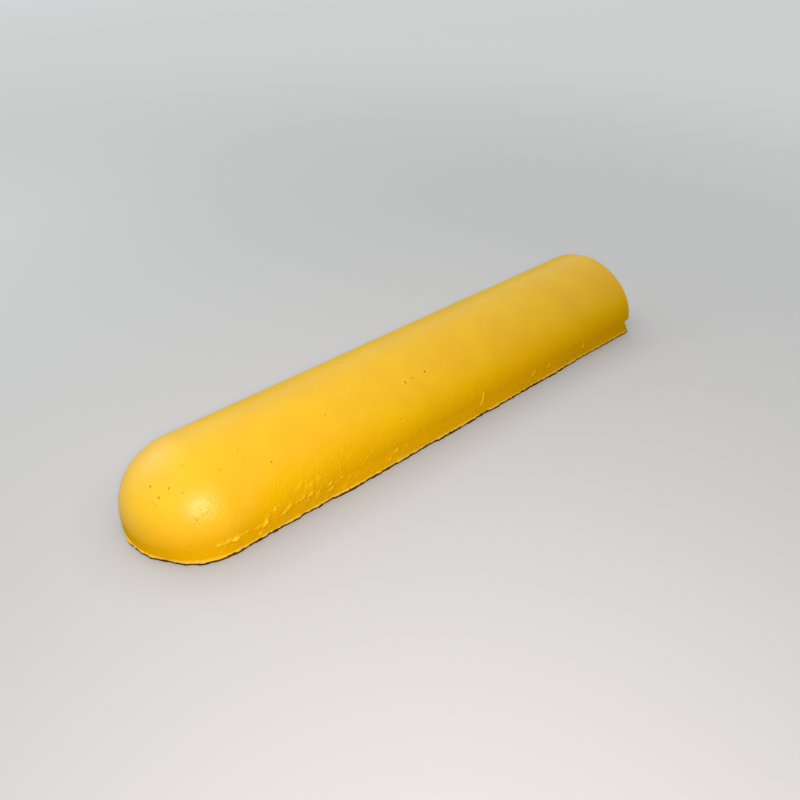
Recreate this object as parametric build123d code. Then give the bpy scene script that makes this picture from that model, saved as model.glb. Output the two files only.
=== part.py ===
from build123d import *
import math
import os

# A precast concrete parking block: a half-round bar of concrete with a domed nose at -X and a flat tail
# at +X, cast upside down over a cage of reinforcing steel. Millimetres, +Z up, base on Z = 0, centred on X and Y.

# Driving dimensions of the concrete
BLOCK_LENGTH = 1830.0
BLOCK_WIDTH = 406.0
SKIRT_HEIGHT = 50.0
ARCH_RISE = 171.0
LIP_HEIGHT = 8.0
LIP_REACH = 1.5
SEAM_LEDGE = 1.0
TAIL_ROUNDING = 4.0

# Driving dimensions of the steel cage
COVER = 40.0
BAR_END_COVER = 45.0
LINK_END_COVER = 70.0
BAR_DIAMETER = 12.7
LINK_DIAMETER = 9.5
LINK_BEND_RADIUS = 28.5
LINK_SHOULDER_ANGLE = 55.0
LINK_COUNT = 5
TIE_WIRE_SIZE = 1.6

# Sides of the prisms that stand for the round bars, which lie inside the true circle, and of a wire ring
BAR_SIDES = 12
TIE_SIDES = 8

# Driving dimensions of the mortar spacers
SPACER_SEAT_SIDE = 40.0
SPACER_TIP_SIDE = 26.0
SPACER_GROOVE_DEPTH = 3.0
SPACER_SKIN = 3.0

# Room left between two pieces of the cage where they bear on each other
SEAT_GAP = 0.3

# Places that follow from the driving dimensions
HALF_WIDTH = BLOCK_WIDTH / 2
ARCH_HALF_WIDTH = HALF_WIDTH - LIP_REACH
TAIL_X = BLOCK_LENGTH / 2
NOSE_X = HALF_WIDTH - BLOCK_LENGTH / 2
BAR_RADIUS = BAR_DIAMETER / 2
LINK_RADIUS = LINK_DIAMETER / 2
LINK_INSET = COVER + LINK_RADIUS

# Half of a link, in the Y-Z plane: its cut foot beside the skirt, and its shoulder under the arch
FOOT_Y = ARCH_HALF_WIDTH - LINK_INSET
FOOT_Z = COVER
SHOULDER_Y = (ARCH_HALF_WIDTH - LINK_INSET) * math.cos(math.radians(LINK_SHOULDER_ANGLE))
SHOULDER_Z = SKIRT_HEIGHT + (ARCH_RISE - LINK_INSET) * math.sin(math.radians(LINK_SHOULDER_ANGLE))
LEG_LEAN = math.atan2(FOOT_Y - SHOULDER_Y, SHOULDER_Z - FOOT_Z)
SHOULDER_TURN = math.pi / 2 - LEG_LEAN

# The long bars and the cross bars bear on the links and on each other
BAR_TO_LINK = BAR_RADIUS + SEAT_GAP + LINK_RADIUS
CROSS_BAR_Z = COVER + LINK_RADIUS
HAIRPIN_Z = CROSS_BAR_Z + BAR_TO_LINK
HAIRPIN_Y = FOOT_Y - (HAIRPIN_Z - FOOT_Z) * math.tan(LEG_LEAN) - BAR_TO_LINK / math.cos(LEG_LEAN)
TOP_BAR_Y = SHOULDER_Y - LINK_BEND_RADIUS * math.tan(SHOULDER_TURN / 2)
TOP_BAR_Z = SHOULDER_Z - BAR_TO_LINK
STACK_HALF_HEIGHT = (BAR_DIAMETER + SEAT_GAP + LINK_DIAMETER) / 2


def half_section():
    """Half of the block's cross-section on local X-Y: the lip, the skirt band that leans out to a ledge at the
    mould's seam, and the elliptic arch that springs from behind the ledge."""
    foot = Polyline(
        (0, 0),
        (HALF_WIDTH, 0),
        (HALF_WIDTH, LIP_HEIGHT),
        (ARCH_HALF_WIDTH, LIP_HEIGHT + LIP_REACH),
        (ARCH_HALF_WIDTH + SEAM_LEDGE, SKIRT_HEIGHT),
        (ARCH_HALF_WIDTH, SKIRT_HEIGHT),
    )
    arch = EllipticalCenterArc((0, SKIRT_HEIGHT), ARCH_HALF_WIDTH, ARCH_RISE, start_angle=0, arc_size=90)
    axis = Line((0, SKIRT_HEIGHT + ARCH_RISE), (0, 0))
    return make_face(foot + arch + axis)


def block_outside():
    """The cast form: the section run from the nose centre to the tail, where the arch's edge is rounded, and
    turned half round for the nose."""
    upright = Plane(origin=(NOSE_X, 0, 0), x_dir=(0, 1, 0), z_dir=(1, 0, 0))
    half = half_section()
    section = half + mirror(half, about=Plane.YZ)
    straight = extrude(upright * section, amount=TAIL_X - NOSE_X)
    tail_arch = straight.faces().sort_by(Axis.X)[-1].edges().filter_by(GeomType.ELLIPSE)
    straight = fillet(tail_arch, TAIL_ROUNDING)
    nose = revolve(upright * half, axis=Axis((NOSE_X, 0, 0), (0, 0, 1)), revolution_arc=180)
    return straight + nose


def bar_along(path, diameter):
    """A bar along a path of straight runs and tangent bends, with few flat sides for a light model."""
    start = Plane(origin=path @ 0, z_dir=path % 0)
    return sweep(start * RegularPolygon(diameter / 2, BAR_SIDES), path=path)


def hairpin_bar():
    """The bottom bar: a leg along each side of the base, joined by a half turn about the nose centre."""
    end_x = TAIL_X - BAR_END_COVER
    left_leg = Line((end_x, HAIRPIN_Y, HAIRPIN_Z), (NOSE_X, HAIRPIN_Y, HAIRPIN_Z))
    bend = CenterArc((NOSE_X, 0, HAIRPIN_Z), HAIRPIN_Y, start_angle=90, arc_size=180)
    right_leg = Line((NOSE_X, -HAIRPIN_Y, HAIRPIN_Z), (end_x, -HAIRPIN_Y, HAIRPIN_Z))
    return bar_along(left_leg + bend + right_leg, BAR_DIAMETER)


def top_bar(side):
    """A straight bar under the crown, from the tail into the dome as far as the cover allows."""
    height_share = (TOP_BAR_Z - SKIRT_HEIGHT) / ARCH_RISE
    dome_radius = ARCH_HALF_WIDTH * math.sqrt(1 - height_share**2)
    nose_end = NOSE_X - math.sqrt(dome_radius**2 - TOP_BAR_Y**2) + BAR_END_COVER
    tail_end = TAIL_X - BAR_END_COVER
    path = Line((nose_end, side * TOP_BAR_Y, TOP_BAR_Z), (tail_end, side * TOP_BAR_Y, TOP_BAR_Z))
    return bar_along(path, BAR_DIAMETER)


def link(x):
    """A bent bar across the block: foot, sloping leg, shoulder, level top, and the same down the other side."""
    path = FilletPolyline(
        (x, -FOOT_Y, FOOT_Z),
        (x, -SHOULDER_Y, SHOULDER_Z),
        (x, SHOULDER_Y, SHOULDER_Z),
        (x, FOOT_Y, FOOT_Z),
        radius=LINK_BEND_RADIUS,
    )
    return bar_along(path, LINK_DIAMETER)


def cross_bar_x(x):
    """The place along the block of the cross bar that lies beside the link at x."""
    return x + LINK_DIAMETER + SEAT_GAP


def cross_bar(x):
    """A straight bar across the block beside a link, under both legs of the hairpin."""
    reach = ARCH_HALF_WIDTH - COVER
    path = Line((cross_bar_x(x), -reach, CROSS_BAR_Z), (cross_bar_x(x), reach, CROSS_BAR_Z))
    return bar_along(path, LINK_DIAMETER)


def distance_to_arch(y, z, out_y, out_z):
    """How far the arch lies from a point inside it, along a direction of unit length."""
    rise = z - SKIRT_HEIGHT
    a = (out_y / ARCH_HALF_WIDTH) ** 2 + (out_z / ARCH_RISE) ** 2
    b = y * out_y / ARCH_HALF_WIDTH**2 + rise * out_z / ARCH_RISE**2
    c = (y / ARCH_HALF_WIDTH) ** 2 + (rise / ARCH_RISE) ** 2 - 1
    return (math.sqrt(b * b - a * c) - b) / a


def spacer(x, side):
    """A tapered mortar block, grooved to sit astride a link's leg, which ends just under the arch's surface."""
    seat_y = (FOOT_Y + SHOULDER_Y) / 2
    seat_z = (FOOT_Z + SHOULDER_Z) / 2
    out_y = math.cos(LEG_LEAN)
    out_z = math.sin(LEG_LEAN)
    seat = LINK_RADIUS - SPACER_GROOVE_DEPTH
    height = distance_to_arch(seat_y, seat_z, out_y, out_z) - SPACER_SKIN - seat
    taper = math.degrees(math.atan2((SPACER_SEAT_SIDE - SPACER_TIP_SIDE) / 2, height))
    base = Plane(origin=(x, side * seat_y, seat_z), x_dir=(1, 0, 0), z_dir=(0, side * out_y, out_z))
    body = extrude(base.offset(seat) * Rectangle(SPACER_SEAT_SIDE, SPACER_SEAT_SIDE), height, taper=taper)
    leg_way = Plane(origin=base.origin, x_dir=(1, 0, 0), z_dir=base.y_dir)
    leg_room = RegularPolygon(LINK_RADIUS + SEAT_GAP, BAR_SIDES, major_radius=False)
    return body - extrude(leg_way * leg_room, SPACER_SEAT_SIDE, both=True)


def reach_on_diagonal(radius):
    """How far a bar at one end of the stack reaches from the stack's middle, cut at 45 degrees to its length."""
    return math.sqrt(2 * (radius**2 + (STACK_HALF_HEIGHT - radius) ** 2))


def tie_ring(x, y, z, turn):
    """A wire ring round a crossing of two bars, standing on the diagonal between them."""
    across = math.radians(turn)
    stand = Plane(origin=(x, y, z), x_dir=(0, 0, 1), z_dir=(math.cos(across), math.sin(across), 0))
    bars_reach = max(reach_on_diagonal(BAR_RADIUS), reach_on_diagonal(LINK_RADIUS))
    inner_radius = bars_reach + TIE_WIRE_SIZE / 2 + SEAT_GAP
    outline = RegularPolygon(inner_radius + TIE_WIRE_SIZE, TIE_SIDES, major_radius=False)
    hole = RegularPolygon(inner_radius, TIE_SIDES, major_radius=False)
    return extrude(stand * (outline - hole), amount=TIE_WIRE_SIZE / 2, both=True)


def tie_pair(x, side):
    """Two ties at one link: hairpin to cross bar on one side, top bar to link on the other."""
    diagonal = 45
    low_z = (CROSS_BAR_Z - LINK_RADIUS + HAIRPIN_Z + BAR_RADIUS) / 2
    high_z = (TOP_BAR_Z - BAR_RADIUS + SHOULDER_Z + LINK_RADIUS) / 2
    low = tie_ring(cross_bar_x(x), side * HAIRPIN_Y, low_z, -side * diagonal)
    high = tie_ring(x, -side * TOP_BAR_Y, high_z, side * diagonal)
    return Compound(children=[low, high])


def link_places():
    """Where the links stand: the first beside the nose centre, the last near the tail, the rest evenly between."""
    first = NOSE_X + LINK_DIAMETER
    last = TAIL_X - LINK_END_COVER
    step = (last - first) / (LINK_COUNT - 1)
    return [first + index * step for index in range(LINK_COUNT)]


def cage():
    """Every piece inside the concrete, by name."""
    pieces = {
        "bottom_hairpin_bar": hairpin_bar(),
        "top_bar_left": top_bar(1),
        "top_bar_right": top_bar(-1),
    }
    for number, x in enumerate(link_places(), start=1):
        tied_side = 1 if number % 2 else -1
        pieces[f"link_{number}"] = link(x)
        pieces[f"cross_bar_{number}"] = cross_bar(x)
        pieces[f"cover_blocks_{number}"] = Compound(children=[spacer(x, 1), spacer(x, -1)])
        pieces[f"tie_wires_{number}"] = tie_pair(x, tied_side)
    return pieces


inside = cage()
embedded = [solid for piece in inside.values() for solid in piece.solids()]
block = block_outside() - embedded

os.makedirs("parts", exist_ok=True)
export_step(block, "parts/concrete_block.step")
for name, piece in inside.items():
    export_step(piece, f"parts/{name}.step")
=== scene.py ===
import itertools
import math

import bpy
import numpy as np
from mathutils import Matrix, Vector


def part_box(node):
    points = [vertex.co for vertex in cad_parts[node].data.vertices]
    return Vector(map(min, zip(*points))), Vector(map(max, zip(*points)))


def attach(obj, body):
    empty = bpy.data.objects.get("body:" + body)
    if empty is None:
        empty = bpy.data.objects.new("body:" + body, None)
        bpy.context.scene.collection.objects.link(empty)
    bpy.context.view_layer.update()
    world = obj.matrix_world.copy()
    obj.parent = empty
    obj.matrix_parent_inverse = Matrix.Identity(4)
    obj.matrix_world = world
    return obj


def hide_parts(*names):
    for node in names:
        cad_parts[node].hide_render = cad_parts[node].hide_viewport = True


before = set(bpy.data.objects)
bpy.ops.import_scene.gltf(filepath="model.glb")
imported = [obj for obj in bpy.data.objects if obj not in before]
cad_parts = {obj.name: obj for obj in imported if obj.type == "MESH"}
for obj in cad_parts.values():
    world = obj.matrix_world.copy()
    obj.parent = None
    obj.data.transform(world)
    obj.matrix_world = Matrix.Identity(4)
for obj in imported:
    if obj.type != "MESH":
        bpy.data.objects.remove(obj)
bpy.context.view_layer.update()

# The steel cage: ribbed reinforcing bars, rolled from carbon steel, then cut and bent cold.
# Grey mill scale is left on them, with a brown bloom of rust from standing in the yard.
BAR_RADIUS = 0.00635
LINK_RADIUS = 0.00475
# Half of a link, across the block: its cut foot, its shoulder, and the radius of the bend there
LINK_FOOT_Y = 0.15675
LINK_FOOT_Z = 0.0400
LINK_SHOULDER_Y = 0.0899
LINK_SHOULDER_Z = 0.1534
LINK_BEND_RADIUS = 0.0285
# The ribs that are rolled into a bar: their pitch, height and lean along the bar, as shares of its radius
RIB_PITCH = 1.4
RIB_HEIGHT = 0.07
RIB_LEAN = 0.5
# Where a rib starts, is full, is last full and ends, as shares of the pitch, and its height there
RIB_STEPS = np.array([0.0, 0.12, 0.28, 0.40])
RIB_RISE = np.array([0.0, 1.0, 1.0, 0.0])
# Power of the cosine that shapes the two ribs along the bar
SPINE_POWER = 20
BAR_SIDES = 16
# Step in which a bar's centre line is summed, and the distance within which points become one
BEND_STEP = 0.0005
MERGE_DISTANCE = 1e-6
ALONG_X = np.array([1.0, 0.0, 0.0])
ALONG_Y = np.array([0.0, 1.0, 0.0])
ALONG_Z = np.array([0.0, 0.0, 1.0])
MILL_SCALE_COLOUR = (0.10, 0.10, 0.105, 1.0)
RUST_COLOUR = (0.25, 0.09, 0.035, 1.0)
RUST_PATCH = 0.018
RUST_DETAIL = 6.0
# Levels of the noise at which rust starts and is full
RUST_FROM = 0.42
RUST_FULL = 0.60
SCALE_METALLIC = 0.8
SCALE_ROUGHNESS = 0.45
RUST_ROUGHNESS = 0.9
SCALE_GRAIN = 0.0015
SCALE_GRAIN_DETAIL = 4.0
SCALE_GRAIN_DEPTH = 0.0002
# Socket numbers of a Mix node that is set to colours
MIX_SHARE, MIX_FIRST, MIX_SECOND, MIX_RESULT = 0, 6, 7, 2


class Strand:
    """An output socket of a node tree. Arithmetic on values adds Math nodes, and node() adds any other."""

    def __init__(self, tree, socket=None):
        self.tree = tree
        self.socket = socket

    def node(self, kind, settings, sockets, output=0):
        """Add a node: its settings come first, then each socket that is named gets its value or its link."""
        made = self.tree.nodes.new(kind)
        for name, value in settings.items():
            setattr(made, name, value)
        for name, value in sockets.items():
            if isinstance(value, Strand):
                self.tree.links.new(value.socket, made.inputs[name])
            else:
                made.inputs[name].default_value = value
        return Strand(self.tree, made.outputs[output] if made.outputs else None)

    def math(self, operation, *values):
        return self.node("ShaderNodeMath", {"operation": operation}, dict(enumerate(values)))

    def __add__(self, other):
        return self.math("ADD", self, other)

    def __sub__(self, other):
        return self.math("SUBTRACT", self, other)

    def __rsub__(self, other):
        return self.math("SUBTRACT", other, self)

    def __mul__(self, other):
        return self.math("MULTIPLY", self, other)

    __radd__ = __add__
    __rmul__ = __mul__

    def eased(self, start, end):
        """0 below start and 1 above end, with a smooth step between. The ends may be given high to low."""
        sockets = {"Value": self, "From Min": start, "From Max": end}
        return self.node("ShaderNodeMapRange", {"interpolation_type": "SMOOTHSTEP"}, sockets)

    def blend(self, first, second):
        """The first colour where this value is 0, the second where it is 1."""
        sockets = {MIX_SHARE: self, MIX_FIRST: first, MIX_SECOND: second}
        return self.node("ShaderNodeMix", {"data_type": "RGBA"}, sockets, output=MIX_RESULT)

    def mottle(self, patch, detail=2.0):
        """Soft noise from 0 to 1 on these coordinates, with patches of that size in metres."""
        return self.node("ShaderNodeTexNoise", {}, {"Vector": self, "Scale": 1 / patch, "Detail": detail})

    def raised(self, depth):
        """A normal for relief of that depth in metres, where this value is the height from 0 to 1."""
        return self.node("ShaderNodeBump", {}, {"Height": self, "Distance": depth}, output="Normal")


def start_finish(name):
    """A material with an empty node tree, and a strand of the piece's own coordinates."""
    made = bpy.data.materials.new(name)
    made.use_nodes = True
    made.node_tree.nodes.clear()
    place = Strand(made.node_tree).node("ShaderNodeTexCoord", {}, {}, output="Object")
    return made, place


def close_finish(place, sockets):
    """End a material's node tree in one surface shader with those sockets."""
    surface = place.node("ShaderNodeBsdfPrincipled", {}, sockets)
    place.node("ShaderNodeOutputMaterial", {}, {"Surface": surface})


def rusted_steel():
    """Mill scale with rust in soft patches, which are rougher and less like metal, and a fine grain."""
    made, place = start_finish("rusted_steel")
    rust = place.mottle(RUST_PATCH, RUST_DETAIL).eased(RUST_FROM, RUST_FULL)
    sockets = {
        "Base Color": rust.blend(MILL_SCALE_COLOUR, RUST_COLOUR),
        "Metallic": SCALE_METALLIC - SCALE_METALLIC * rust,
        "Roughness": SCALE_ROUGHNESS + (RUST_ROUGHNESS - SCALE_ROUGHNESS) * rust,
        "Normal": place.mottle(SCALE_GRAIN, SCALE_GRAIN_DETAIL).raised(SCALE_GRAIN_DEPTH),
    }
    close_finish(place, sockets)
    return made


def grid_faces(grid):
    """Four-cornered faces between neighbours of a grid of point numbers."""
    return np.stack([grid[:-1, :-1], grid[1:, :-1], grid[1:, 1:], grid[:-1, 1:]], axis=-1).reshape(-1, 4)


def merged(points, faces):
    """Make points that lie together one, drop points that no face uses, and turn faces that lost a corner
    into triangles. Returns the points, the number of the old point behind each, the faces with four and with
    three corners, and the numbers of the old faces behind these."""
    keys = np.round(points / MERGE_DISTANCE).astype(np.int64)
    first, new_number = np.unique(keys, axis=0, return_index=True, return_inverse=True)[1:]
    faces = new_number.ravel()[faces]
    used, packed = np.unique(faces, return_inverse=True)
    faces = packed.reshape(faces.shape)
    lost = faces == np.roll(faces, -1, axis=1)
    whole = np.flatnonzero(lost.sum(axis=1) == 0)
    cut = np.flatnonzero(lost.sum(axis=1) == 1)
    triangles = faces[cut][~lost[cut]].reshape(-1, 3)
    return points[first[used]], first[used], faces[whole], triangles, np.concatenate([whole, cut])


def running_sum(values):
    """0, and then the sum of the values so far after each of them."""
    return np.concatenate([[0], np.cumsum(values)])


def bent_line(runs, heading, lengths):
    """Places in a plane, and headings, at lengths along a bent line. Each run of the line has a length and a
    turn in radians, made evenly along it; the places are running sums of the headings' cosines and sines."""
    run_lengths, turns = np.array(runs).T
    ends = running_sum(run_lengths)
    headings = heading + running_sum(turns)
    fine = np.linspace(0, ends[-1], round(ends[-1] / BEND_STEP))
    steps = np.diff(fine)
    ways = np.interp(fine[:-1] + steps / 2, ends, headings)
    onward = np.interp(lengths, fine, running_sum(steps * np.cos(ways)))
    aside = np.interp(lengths, fine, running_sum(steps * np.sin(ways)))
    return onward, aside, np.interp(lengths, ends, headings)


def bar_mesh(name, radius, start, first, second, heading, runs):
    """A round section carried along a bent line in the plane of two directions. Round the section stand two
    ribs along the bar, a cosine to a high power, and between them the rolled ribs, which swell with the root
    of the sine. The rings that carry these lean along the bar by a cosine. Each end closes to its middle."""
    pitch = RIB_PITCH * radius
    length = sum(run_length for run_length, turn in runs)
    ribs = int(length / pitch) - 1
    ribbed = (np.arange(ribs)[:, None] + RIB_STEPS).ravel() * pitch
    ribbed += (length - ribbed[-1]) / 2
    places = np.concatenate([[0, 0], ribbed, [length, length]])[:, None]
    rises = np.concatenate([[0, 0], np.tile(RIB_RISE, ribs), [0, 0]])[:, None]
    leans = np.concatenate([[0, 0], np.ones_like(ribbed), [0, 0]])[:, None]
    opened = np.concatenate([[0, 1], np.ones_like(ribbed), [1, 0]])[:, None]
    turn = np.arange(BAR_SIDES) * 2 * math.pi / BAR_SIDES
    proud = np.maximum(rises * np.sqrt(np.abs(np.sin(turn))), np.cos(turn) ** SPINE_POWER)
    reach = opened * radius * (1 - RIB_HEIGHT + RIB_HEIGHT * proud)
    onward, aside, way = bent_line(runs, heading, places + leans * RIB_LEAN * radius * np.cos(turn))
    outward = reach * np.cos(turn)
    upward = reach * np.sin(turn)
    points = np.asarray(start) + (onward + outward * np.sin(way))[..., None] * first
    points = points + (aside - outward * np.cos(way))[..., None] * second
    points = points + upward[..., None] * np.cross(first, second)
    grid = np.arange(upward.size).reshape(upward.shape)
    faces = grid_faces(np.hstack([grid, grid[:, :1]]))
    joined, _, whole, triangles, face_behind = merged(points.reshape(-1, 3), faces)
    mesh = bpy.data.meshes.new(name)
    mesh.from_pydata(joined.tolist(), [], whole.tolist() + triangles.tolist())
    mesh.polygons.foreach_set("use_smooth", np.arange(len(face_behind)) < len(whole))
    return mesh


def placed(name, data):
    """A new object that holds that data, linked to the scene."""
    made = bpy.data.objects.new(name, data)
    bpy.context.scene.collection.objects.link(made)
    return made


def add_bar(node, finish, *form):
    """A ribbed bar in the place of a plain CAD one."""
    name = f"ribbed_{node}"
    bar = placed(name, bar_mesh(name, *form))
    bar.data.materials.append(finish)
    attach(bar, "root")
    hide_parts(node)


def straight_form(node, radius, first, second):
    """The form of a straight bar, which fills its node's box from end to end along the first direction."""
    low, high = [np.array(corner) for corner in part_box(node)]
    middle = (low + high) / 2
    length = (high - low) @ first
    return radius, middle - first * length / 2, first, second, 0.0, [(length, 0.0)]


def hairpin_form(node):
    """The form of the hairpin: a leg, half a turn about the middle of the nose, and the other leg."""
    low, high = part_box(node)
    bend_radius = high.y - BAR_RADIUS
    leg = high.x - low.x - high.y
    runs = [(leg, 0.0), (math.pi * bend_radius, math.pi), (leg, 0.0)]
    return BAR_RADIUS, (high.x, bend_radius, (low.z + high.z) / 2), ALONG_X, ALONG_Y, math.pi, runs


def link_form(node):
    """The form of a link: a leg up to the shoulder, a bend, the level top, a bend and a leg down."""
    low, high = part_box(node)
    climb = LINK_SHOULDER_Z - LINK_FOOT_Z
    inset = LINK_FOOT_Y - LINK_SHOULDER_Y
    turn = math.atan2(climb, inset)
    cut_short = LINK_BEND_RADIUS * math.tan(turn / 2)
    leg = (math.hypot(climb, inset) - cut_short, 0.0)
    bend = (LINK_BEND_RADIUS * turn, -turn)
    runs = [leg, bend, (2 * (LINK_SHOULDER_Y - cut_short), 0.0), bend, leg]
    return LINK_RADIUS, ((low.x + high.x) / 2, -LINK_FOOT_Y, LINK_FOOT_Z), ALONG_Y, ALONG_Z, turn, runs


bar_steel = rusted_steel()
add_bar("bottom_hairpin_bar", bar_steel, *hairpin_form("bottom_hairpin_bar"))
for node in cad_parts:
    if node.startswith("top_bar_"):
        add_bar(node, bar_steel, *straight_form(node, BAR_RADIUS, ALONG_X, ALONG_Y))
    elif node.startswith("cross_bar_"):
        add_bar(node, bar_steel, *straight_form(node, LINK_RADIUS, ALONG_Y, ALONG_Z))
    elif node.startswith("link_"):
        add_bar(node, bar_steel, *link_form(node))

# The ties: black annealed wire, passed round a crossing of two bars and twisted tight with pincers.
# It is soft and dark, with a faint oily sheen.
TIE_NODES = [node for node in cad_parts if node.startswith("tie_wires_")]
WIRE_COLOUR = (0.045, 0.042, 0.04, 1.0)
WIRE_WORN_COLOUR = (0.13, 0.12, 0.11, 1.0)
WIRE_METALLIC = 0.9
WIRE_ROUGHNESS = 0.5
WEAR_PATCH = 0.006
WEAR_DETAIL = 4.0
# Levels of the noise at which wear starts and is full, and how much smoother it makes the wire
WEAR_FROM = 0.5
WEAR_FULL = 0.7
WEAR_POLISH = 0.15
WIRE_GRAIN = 0.0012
WIRE_GRAIN_DETAIL = 3.0
WIRE_GRAIN_DEPTH = 0.0001


def dress(nodes, material):
    """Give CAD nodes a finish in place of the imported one."""
    for node in nodes:
        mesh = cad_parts[node].data
        mesh.materials.clear()
        mesh.materials.append(material)


def annealed_wire():
    """Dark iron that is rubbed paler and smoother in places, with a fine grain."""
    made, place = start_finish("annealed_wire")
    worn = place.mottle(WEAR_PATCH, WEAR_DETAIL).eased(WEAR_FROM, WEAR_FULL)
    sockets = {
        "Base Color": worn.blend(WIRE_COLOUR, WIRE_WORN_COLOUR),
        "Metallic": WIRE_METALLIC,
        "Roughness": WIRE_ROUGHNESS - WEAR_POLISH * worn,
        "Normal": place.mottle(WIRE_GRAIN, WIRE_GRAIN_DETAIL).raised(WIRE_GRAIN_DEPTH),
    }
    close_finish(place, sockets)
    return made


dress(TIE_NODES, annealed_wire())

# The cover blocks: small tapered blocks of cement mortar, grooved to sit on the links and wired to them.
# They keep the cage off the mould, and end up inside the concrete.
SPACER_NODES = [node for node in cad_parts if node.startswith("cover_blocks_")]
MORTAR_COLOUR = (0.46, 0.44, 0.40, 1.0)
MORTAR_DARK_COLOUR = (0.30, 0.29, 0.27, 1.0)
MORTAR_ROUGHNESS = 0.85
SPACER_PATCH = 0.02
PATCH_DETAIL = 5.0
SAND_GRAIN = 0.0012
SAND_DETAIL = 2.0
SAND_DEPTH = 0.0004
SAND_ROUGHNESS = 0.1
# Levels of the noise at which patches and sand are dark and pale, and the share of each in the tone
PATCH_DARK = 0.30
PATCH_PALE = 0.70
PATCH_SHARE = 0.7
SAND_DARK = 0.35
SAND_PALE = 0.70
SAND_SHARE = 0.3


def cement_mortar(name, pale, dark, patch):
    """Fine sand in cement: grey in soft patches, peppered with grains, dull and slightly rough."""
    made, place = start_finish(name)
    patches = place.mottle(patch, PATCH_DETAIL).eased(PATCH_DARK, PATCH_PALE)
    sand = place.mottle(SAND_GRAIN, SAND_DETAIL)
    tone = patches * PATCH_SHARE + sand.eased(SAND_DARK, SAND_PALE) * SAND_SHARE
    sockets = {
        "Base Color": tone.blend(dark, pale),
        "Roughness": MORTAR_ROUGHNESS + SAND_ROUGHNESS * sand,
        "Normal": sand.raised(SAND_DEPTH),
    }
    close_finish(place, sockets)
    return made


dress(SPACER_NODES, cement_mortar("spacer_mortar", MORTAR_COLOUR, MORTAR_DARK_COLOUR, SPACER_PATCH))

# The concrete block: poured upside down into an arched mould, with a rail round its rim that shaped the
# skirt. Cement ran out at the seam above the rail and in a ragged lip below it. All but the base is painted
# yellow.
block_low, block_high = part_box("concrete_block")
HALF_WIDTH = (block_high.y - block_low.y) / 2
NOSE_X = block_low.x + HALF_WIDTH
TAIL_X = block_high.x
SKIRT_HEIGHT = 0.050
ARCH_RISE = block_high.z - SKIRT_HEIGHT
LIP_REACH = 0.0015
ARCH_HALF_WIDTH = HALF_WIDTH - LIP_REACH
# Rounding of the edge between the sides and the tail
RIM_RADIUS = 0.004
QUARTER_TURN = math.pi / 2
NOSE_RUN = ARCH_HALF_WIDTH * QUARTER_TURN
STRAIGHT_RUN = TAIL_X - NOSE_X - RIM_RADIUS
END_RUN = NOSE_RUN + STRAIGHT_RUN + RIM_RADIUS * QUARTER_TURN
# Climb per radian up the arch, the mean of its two radii
ARCH_PACE = (ARCH_HALF_WIDTH + ARCH_RISE) / 2
END_CLIMB = SKIRT_HEIGHT + ARCH_PACE * QUARTER_TURN
# Divisions of the mesh: columns on the -Y and on the +Y side, rows up to the crown, and steps over the tail
NEAR_COLUMNS = 640
FAR_COLUMNS = 220
ROWS = 104
CROSS_STEPS = 18

# Seeded noise in space, for everything that is irregular
GRAIN_SEED = 7
GRAIN_CELLS = 48
grain_values = np.random.default_rng(GRAIN_SEED).random((GRAIN_CELLS,) * 3)


def grain(points, cell, layer):
    """Noise from -1 to 1 at points in space: random values on a lattice of that cell size, eased between
    the eight lattice points round each point. The layer shifts the lattice, so that layers differ."""
    scaled = points / cell + layer * math.e
    base = np.floor(scaled).astype(int)
    part = scaled - base
    part = part * part * (3 - 2 * part)
    total = np.zeros(len(points))
    for corner in itertools.product((0, 1), repeat=3):
        weight = np.prod(np.where(corner, part, 1 - part), axis=1)
        cells = (base + corner) % GRAIN_CELLS
        total += weight * grain_values[cells[:, 0], cells[:, 1], cells[:, 2]]
    return 2 * total - 1


def grain_along(run, cell, layer):
    """The same noise, on the run alone."""
    return grain(np.stack([run, np.zeros_like(run), np.zeros_like(run)], axis=1), cell, layer)


def ease(start, end, value):
    """A smooth step: 0 at start and before it, 1 at end and beyond it."""
    share = np.clip((value - start) / (end - start), 0, 1)
    return share * share * (3 - 2 * share)


def hump(offset, reach):
    """A bell curve: 1 where the offset is 0, a third at that reach."""
    return np.exp(-((offset / reach) ** 2))


def cast_form(run, climb):
    """Points and outward normals of the smooth cast form. The run goes along the base outline from the tip of
    the nose, negative on the -Y side; the climb goes up the skirt and then over the quarter ellipse of the
    arch. Towards the tail the form draws in along a quarter circle, which rounds the rim."""
    turn = np.clip(run / ARCH_HALF_WIDTH, -QUARTER_TURN, QUARTER_TURN)
    past_nose = np.abs(run - turn * ARCH_HALF_WIDTH)
    rim_turn = np.clip((past_nose - STRAIGHT_RUN) / RIM_RADIUS, 0, QUARTER_TURN)
    spine_x = NOSE_X + np.minimum(past_nose, STRAIGHT_RUN) + RIM_RADIUS * np.sin(rim_turn)
    angle = np.maximum(climb - SKIRT_HEIGHT, 0) / ARCH_PACE
    reach = ARCH_HALF_WIDTH * np.cos(angle)
    height = np.minimum(climb, SKIRT_HEIGHT) + ARCH_RISE * np.sin(angle)
    out_x = -np.cos(turn)
    out_y = np.sin(turn)
    lean_out = np.cos(angle) / ARCH_HALF_WIDTH
    lean_up = np.sin(angle) / ARCH_RISE
    lean = np.hypot(lean_out, lean_up)
    points = np.stack([spine_x + reach * out_x, reach * out_y, height], axis=1)
    normals = np.stack([lean_out * out_x, lean_out * out_y, lean_up], axis=1) / lean[:, None]
    rim_inset = RIM_RADIUS * (1 - np.cos(rim_turn))
    return points - normals * rim_inset[:, None], normals


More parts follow.
